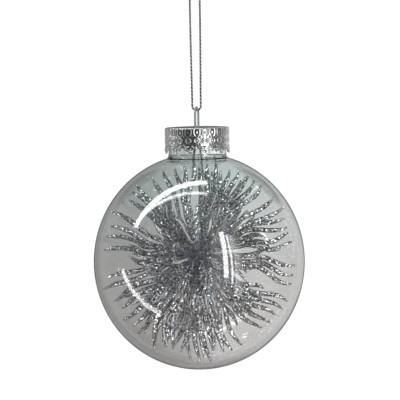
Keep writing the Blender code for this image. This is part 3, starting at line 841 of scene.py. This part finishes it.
class Leaf:
    """One tapered, wavy leaf of a sprig. A share runs from 0 at the fork to 1 at the tip."""

    def __init__(self, axes, index, count, curl, fan, wave, rng):
        self.axes, self.index, self.count = axes, index, count
        self.root = (index - (count - 1) / 2) * FORK_WIDTH / count / FORK_RADIUS
        self.size, self.cycles, self.phase, self.bow, self.bow_phase = wave
        self.curl, self.fan = curl, fan
        self.size += LEAF_WAVE * rng.uniform(-1, 1)
        self.phase += PHASE_SPREAD * rng.uniform(-1, 1)
        self.bow += LEAF_WAVE * rng.uniform(-1, 1)
        self.reach = rng.uniform(*REACHES)

    def way(self, share):
        axis, side, normal = self.axes
        opened = min(1.0, share / LEAF_OPEN_AT)
        opened = opened * opened * (3 - 2 * opened)
        swing = self.size * math.sin(2 * math.pi * self.cycles * share + self.phase)
        across = self.root + (self.fan - self.root + swing) * opened + self.curl * share
        up = self.bow * math.sin(1.5 * math.pi * share + self.bow_phase) * opened
        return (axis * math.cos(across) + side * math.sin(across)) * math.cos(up) + normal * math.sin(up)

    def point(self, share):
        tip = (wall_distance(self.way(1.0)) - TIP_CLEARANCE) * self.reach
        return self.way(share) * (FORK_RADIUS + (tip - FORK_RADIUS) * share)

    def half_width(self, share):
        root = FORK_WIDTH / 3
        grown = root + (LEAF_WIDTH - root) * min(1.0, share / LEAF_FULL_AT)
        taper = max(0.0, (share - LEAF_TAPER_AT) / (1 - LEAF_TAPER_AT)) ** LEAF_TAPER_POWER
        return (grown + (LEAF_TIP_WIDTH - grown) * taper) / 2

    def stalk_rings(self):
        """Centre, half width and half thickness of each ring from the hub to the fork."""
        axis, side, _ = self.axes
        start = HUB_RADIUS + GAP + LEAF_THICKNESS / 4
        steps = round((FORK_RADIUS - start) / GRAIN)
        rings = []
        for k in range(steps):
            share = k / steps
            width = STALK_WIDTH + (FORK_WIDTH - STALK_WIDTH) * share
            aside = width * ((self.index + 0.5) / self.count - 0.5)
            centre = axis * (start + (FORK_RADIUS - start) * share) + side * aside
            rings.append((centre, width / self.count * STALK_FILL, LEAF_THICKNESS / 2))
        return rings

    def leaf_rings(self):
        """Centre, half width and half thickness of each ring from the fork to the tip."""
        steps = round((self.point(1.0) - self.point(0.0)).length / GRAIN)
        rings = []
        for k in range(steps + 1):
            share = k / steps
            thickness = LEAF_THICKNESS * (1 - (1 - LEAF_TIP_SHARE) * share ** 2)
            rings.append((self.point(share), self.half_width(share), thickness / 2))
        return rings

    def mesh(self, noise):
        """A closed, crusted leaf from the hub along the stalk to its tip."""
        rings = self.stalk_rings() + self.leaf_rings()
        centres, halves, thick = (np.array(values) for values in zip(*rings))
        tangent = tangents(centres)
        across = np.cross(np.array(self.axes[2]), tangent)
        across /= np.linalg.norm(across, axis=1)[:, None]
        out = np.cross(tangent, across)
        angle = np.arange(LEAF_SIDES) * 2 * math.pi / LEAF_SIDES
        size = 1 + noise.uniform(-ROUGH_OUT, ROUGH_OUT, (len(rings), LEAF_SIDES))
        slip = noise.uniform(-ROUGH_ALONG, ROUGH_ALONG, (len(rings), LEAF_SIDES)) * GRAIN
        verts = (centres[:, None, :]
                 + across[:, None, :] * (halves[:, None] * np.cos(angle) * size)[:, :, None]
                 + out[:, None, :] * (thick[:, None] * np.sin(angle) * size)[:, :, None]
                 + tangent[:, None, :] * slip[:, :, None])
        return verts.reshape(-1, 3) + SPRAY_CENTRE, tube_faces(len(rings), LEAF_SIDES), 0


def sprig_axes(clock, lean, curl):
    """A sprig's own directions: outwards, across its fan, and out of the fan's plane."""
    axis = direction(clock - curl, lean)
    side = direction(clock - curl + 90, 0)
    side = (side - axis * side.dot(axis)).normalized()
    return axis, side, axis.cross(side)


def make_sprig(name, seed, sprig, material):
    clock, lean, curl, fans = sprig
    rng, noise = random.Random(seed), np.random.RandomState(seed)
    axes = sprig_axes(clock, lean, curl)
    wave = (WAVE * rng.uniform(*WAVE_SHARES), rng.uniform(*WAVE_CYCLES), rng.uniform(0, 2 * math.pi),
            BOW * rng.uniform(-1, 1), rng.uniform(0, math.pi))
    leaves = [Leaf(axes, i, len(fans), math.radians(curl), math.radians(fan), wave, rng)
              for i, fan in enumerate(fans)]
    verts, faces, _ = joined([leaf.mesh(noise) for leaf in leaves])
    piece = new_piece("glitter_" + name, verts, faces, [material], "ball", name, False)
    angle = np.arange(len(verts)) % LEAF_SIDES * 2 * math.pi / LEAF_SIDES
    add_attribute(piece, "edge", np.abs(np.cos(angle)))


def make_spray(material):
    for group_number, (group, sprigs) in enumerate(GROUPS):
        for number, sprig in enumerate(sprigs):
            make_sprig(f"{group}_{number + 1:02d}", SEED + 100 * group_number + number, sprig, material)


def make_hub(material):
    """The moulded hub with a raised socket round each stalk."""
    ball = bmesh.new()
    bmesh.ops.create_icosphere(ball, subdivisions=6, radius=1.0)
    verts = np.array([tuple(v.co) for v in ball.verts])
    faces = [tuple(v.index for v in f.verts) for f in ball.faces]
    ball.free()
    low = HUB_RADIUS - SOCKET_HEIGHT / 2
    radius = np.full(len(verts), low)
    for _, sprigs in GROUPS:
        for clock, lean, curl, _ in sprigs:
            axis = np.array(direction(clock - curl, lean))
            apart = np.arccos(np.clip(verts @ axis, -1, 1)) * HUB_RADIUS
            radius = np.maximum(radius, low + SOCKET_HEIGHT * gauss(apart - SOCKET_RADIUS, SOCKET_WIDTH))
    return new_piece("spray_hub_moulding", verts * radius[:, None] + SPRAY_CENTRE, faces, [material],
                     "ball", "spray_hub")


# ---------------------------------------------------------------- stage and light
FLOOR_HALF, FLOOR_Z = 0.55, -1.2
# grey of the studio's walls: behind the ornament at 0, left at 0.25, in front at 0.5, right at 0.75
WALLS = [
    (0.0, 0.42), (0.12, 0.32), (0.20, 0.40), (0.27, 0.35), (0.32, 0.17), (0.37, 0.08), (0.50, 0.06),
    (0.53, 0.42), (0.55, 1.0), (0.59, 0.88), (0.61, 0.22), (0.70, 0.19), (0.78, 0.22), (0.83, 0.42),
    (0.90, 0.85), (0.965, 0.55), (1.0, 0.42),
]
CEILING, GROUND = (0.42, 0.46, 0.45), (0.35, 0.31, 0.30)
BACK_WALL, SHOULDER_SHADE = (0.08, 0.085, 0.085), (0.02, 0.025, 0.025)
SHOULDERS = [(-0.48, 0.53, -0.70), (0.46, 0.51, -0.73)]
# two ends as right, up and front, half width in degrees, brightness, and how fast it dims across
STRIP_LIGHTS = [
    ((-0.885, 0.457, 0.088), (0.127, 0.991, -0.048), 3.3, 11.0, None),
    ((-0.80, 0.58, 0.08), (0.143, 0.958, 0.225), 1.7, 9.0, None),
    ((0.388, 0.505, 0.771), (0.475, -0.283, 0.832), 2.5, 11.0, None),
    ((0.480, 0.444, 0.756), (0.567, -0.384, 0.730), 1.2, 10.0, None),
    ((0.60, 0.44, 0.66), (0.66, -0.55, 0.52), 8.0, 3.4, 1.8),
    ((-0.994, -0.095, -0.055), (-0.592, -0.751, 0.291), 1.6, 11.0, None),
    ((0.197, -0.930, -0.311), (0.319, -0.841, -0.436), 0.6, 7.0, None),
    ((0.462, -0.852, -0.246), (0.511, -0.804, -0.304), 0.8, 7.0, None),
    ((0.805, -0.36, 0.47), (0.84, -0.375, 0.39), 1.5, 4.0, None),
]
STRIP_SOFT = 0.012  # half width of a strip's blurred edge
STRIPS_IN_ROUGH = 0.27  # share of the strips' brightness that rough surfaces get


def make_floor():
    size, z = FLOOR_HALF, FLOOR_Z
    corners = [(-size, -size, z), (size, -size, z), (size, size, z), (-size, size, z)]
    new_mesh_object("floor", corners, [(0, 1, 2, 3)], [floor_material()])


def strip(nodes, way, first, last, half_width, strength, fade):
    """Brightness of a straight strip light between two directions. fade makes it dim across, to one side."""
    first, last = seen(*first), seen(*last)
    centre = (first + last).normalized()
    along = (last - first).normalized()
    across = centre.cross(along).normalized()
    reach, wide = math.tan(first.angle(last) / 2), math.tan(math.radians(half_width))
    facing = nodes.vector("DOT_PRODUCT", way, tuple(centre))
    ahead = nodes.math("MAXIMUM", facing, 0.05)
    x = nodes.math("DIVIDE", nodes.vector("DOT_PRODUCT", way, tuple(across)), ahead)
    y = nodes.math("DIVIDE", nodes.vector("DOT_PRODUCT", way, tuple(along)), ahead)
    in_y = nodes.step(nodes.math("ABSOLUTE", y), reach - STRIP_SOFT, reach + STRIP_SOFT, 1.0, 0.0)
    if fade is None:
        in_x = nodes.step(nodes.math("ABSOLUTE", x), wide - STRIP_SOFT, wide + STRIP_SOFT, 1.0, 0.0)
    else:
        left = nodes.step(x, -wide - STRIP_SOFT, -wide + STRIP_SOFT)
        right = nodes.step(x, -wide, wide, 1.0, 0.0)
        in_x = nodes.math("MULTIPLY", left, nodes.math("POWER", right, fade))
    both = nodes.math("MULTIPLY", nodes.math("MULTIPLY", in_x, in_y), nodes.step(facing, 0.05, 0.1))
    return nodes.math("MULTIPLY", both, strength)


def studio_walls(nodes, way, to_right):
    """Colour of the studio in every direction: grey walls, a cool ceiling, a warm ground, dark patches."""
    to_front = nodes.vector("DOT_PRODUCT", way, tuple(BACK))
    to_top = nodes.vector("DOT_PRODUCT", way, tuple(UP))
    turn = nodes.math("ARCTAN2", to_right, to_front)
    colour = nodes.ramp(nodes.math("MULTIPLY_ADD", turn, 1 / (2 * math.pi), 0.5), WALLS)
    colour = nodes.mix(nodes.step(to_top, 0.45, 0.85), colour, CEILING)
    colour = nodes.mix(nodes.step(to_top, -0.9, -0.45, 1.0, 0.0), colour, GROUND)
    colour = nodes.mix(nodes.step(to_front, -0.985, -0.94, 1.0, 0.0), colour, BACK_WALL)
    for shoulder in SHOULDERS:
        near = nodes.step(nodes.vector("DOT_PRODUCT", way, tuple(seen(*shoulder))), 0.965, 0.99)
        colour = nodes.mix(near, colour, SHOULDER_SHADE)
    return colour


def studio_shader(nodes, way, to_right, path):
    """The walls plus the strip lights, which are brighter in sharp reflections than in rough ones."""
    walls = nodes.add("ShaderNodeBackground")
    nodes.link(studio_walls(nodes, way, to_right), walls.inputs["Color"])
    total = strip(nodes, way, *STRIP_LIGHTS[0])
    for light in STRIP_LIGHTS[1:]:
        total = nodes.math("ADD", total, strip(nodes, way, *light))
    share = nodes.math("MULTIPLY_ADD", path["Is Singular Ray"], 1 - STRIPS_IN_ROUGH, STRIPS_IN_ROUGH)
    strips = nodes.add("ShaderNodeBackground")
    strips.inputs["Color"].default_value = (*WHITE, 1.0)
    nodes.link(nodes.math("MULTIPLY", total, share), strips.inputs["Strength"])
    both = nodes.add("ShaderNodeAddShader")
    nodes.link(walls.outputs[0], both.inputs[0])
    nodes.link(strips.outputs[0], both.inputs[1])
    return both.outputs[0]


def backdrop_shader(nodes, to_right, path):
    """The white backdrop, darker towards the left where it is seen through glass."""
    backdrop = nodes.add("ShaderNodeBackground")
    backdrop.inputs["Color"].default_value = (*WHITE, 1.0)
    through = nodes.step(to_right, -0.047, 0.045, 0.51, 0.96)
    plain = nodes.math("MULTIPLY", path["Is Camera Ray"], 1.02)
    nodes.link(nodes.math("MAXIMUM", through, plain), backdrop.inputs["Strength"])
    return backdrop.outputs[0]


def make_world():
    """A plain white backdrop straight on and through glass, and the studio in every reflection."""
    world = bpy.data.worlds.new("studio")
    bpy.context.scene.world = world
    world.use_nodes = True
    nodes = Nodes(world.node_tree)
    way = nodes.vector("NORMALIZE", nodes.add("ShaderNodeTexCoord").outputs["Generated"])
    to_right = nodes.vector("DOT_PRODUCT", way, tuple(RIGHT))
    path = nodes.add("ShaderNodeLightPath").outputs
    straight = nodes.math("MAXIMUM", path["Is Camera Ray"], path["Is Transmission Ray"])
    bounces = nodes.math("ADD", path["Glossy Depth"], path["Diffuse Depth"])
    direct = nodes.math("MULTIPLY", straight, nodes.math("LESS_THAN", bounces, 0.5))
    shader = nodes.mix_shaders(direct, studio_shader(nodes, way, to_right, path),
                               backdrop_shader(nodes, to_right, path))
    output = nodes.add("ShaderNodeOutputWorld")
    nodes.link(shader, output.inputs["Surface"])


# ---------------------------------------------------------------- everything
make_camera()
dark_thread = thread_material("dark_thread", (0.004, 0.004, 0.005), (0.018, 0.019, 0.022), 0.1, 0.5)
silver_thread = thread_material("silver_thread", (0.84, 0.85, 0.86), (0.97, 0.97, 0.98), 0.15, 0.35)
make_string([dark_thread, silver_thread])
make_wire(wire_material())
make_glass(glass_material())
make_cap(cap_material())
make_spray(glitter_material())
make_hub(hub_material())
make_floor()
make_world()
bpy.context.scene.view_settings.view_transform = "Standard"
